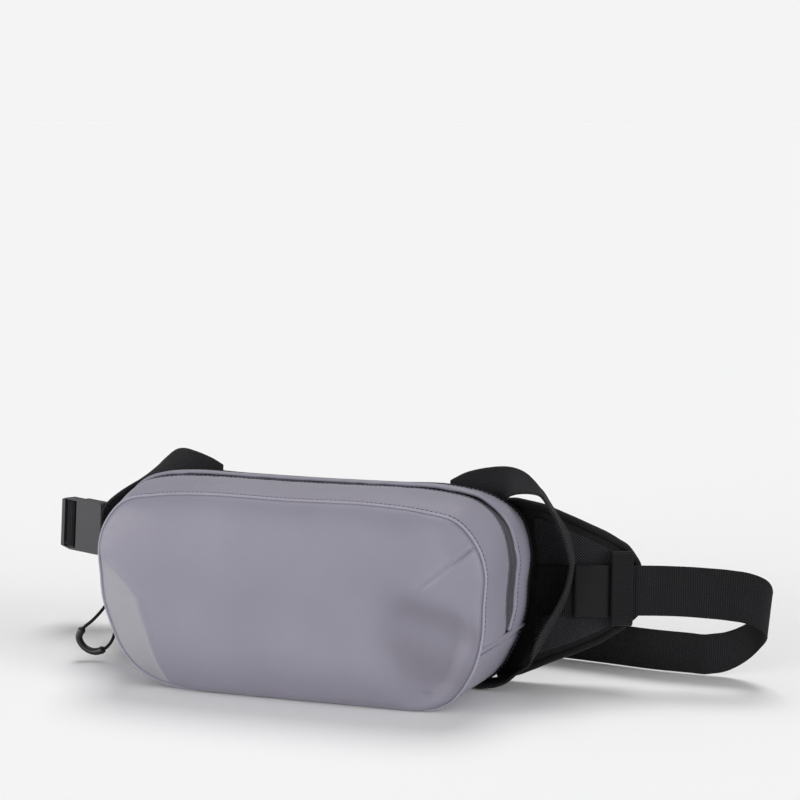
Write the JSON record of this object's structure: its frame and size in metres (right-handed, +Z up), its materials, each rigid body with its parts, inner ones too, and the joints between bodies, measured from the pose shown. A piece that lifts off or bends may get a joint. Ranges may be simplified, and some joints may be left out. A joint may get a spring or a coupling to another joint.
{
  "type": "waist pack",
  "caption": "Soft waist pack with a U-shaped zip, padded hip wings, stabiliser straps, a webbing belt and a flat sliding buckle.",
  "frame": {"origin": "middle of the base, on the surface that the bag stands on", "axes": "+Z up, the front panel faces -Y, +X is towards the right-hand wing as seen from the front"},
  "size_m": [0.5887, 0.1906, 0.1631],
  "materials": {
    "coated_fabric": "matt coated woven fabric",
    "webbing": "ribbed woven webbing",
    "mesh": "chevron air mesh",
    "pad": "foam pad in knitted cover",
    "lining": "plain lining",
    "binding": "grosgrain binding",
    "board": "polyethylene sheet",
    "zip_tape": "coated zip tape",
    "zip_coil": "satin",
    "buckle": "fine moulded texture",
    "slider_metal": "satin black",
    "steel": "ground",
    "cord": "braided cord",
    "grip": "smooth moulded rubber"
  },
  "bodies": {
    "bag": {"front_panel": "coated_fabric", "front_zip_band": "coated_fabric", "rear_zip_band": "coated_fabric", "lower_gusset": "coated_fabric", "left_end_seam_tape": "coated_fabric", "right_end_seam_tape": "coated_fabric", "front_seam_binding": "binding", "back_seam_binding": "binding", "zip_tape_front": "zip_tape", "zip_tape_rear": "zip_tape", "zip_coil_front": "zip_coil", "zip_coil_rear": "zip_coil", "left_zip_stop": "steel", "right_zip_stop": "steel", "back_panel": "pad", "back_stiffener": "board", "back_lining": "lining", "lumbar_pad": "pad", "base_stiffener": "board", "inner_divider": "lining", "left_wing_pad": "pad", "right_wing_pad": "pad", "left_wing_mesh": "mesh", "right_wing_mesh": "mesh", "left_wing_webbing": "webbing", "right_wing_webbing": "webbing", "label_patch": "binding", "right_keeper": "webbing", "belt_front_run": "webbing", "belt_right_turn": "webbing", "belt_back_run": "webbing", "belt_left_run": "webbing", "left_upper_strap": "webbing", "left_lower_strap": "webbing", "right_upper_strap": "webbing", "right_lower_strap": "webbing", "buckle_base": "buckle", "base_magnet": "steel"},
    "buckle_slide": {"buckle_plate": "buckle", "plate_magnet": "steel", "belt_wrap": "webbing", "belt_tail": "webbing", "tail_hem": "webbing"},
    "slider_body": {"zip_slider": "slider_metal", "slider_pin": "steel"},
    "zip_pull": {"pull_anchor": "grip", "pull_cord_outer": "cord", "pull_grip": "grip", "pull_cord_inner": "cord"}
  },
  "joints": [
    {"name": "buckle_release", "type": "slide", "parent": "bag", "child": "buckle_slide", "axis": [0.0687, -0.0121, 0.9976], "range_m": [0, 0.034]},
    {"name": "zip_run", "type": "slide", "parent": "bag", "child": "slider_body", "axis": [-0.065, 0, 0.9979], "range_m": [0, 0.036]},
    {"name": "pull_swing", "type": "hinge", "parent": "slider_body", "child": "zip_pull", "pos_m": [-0.15734, 0.01, 0.05944], "axis": [0, 1, 0], "range_deg": [0, 100]}
  ]
}
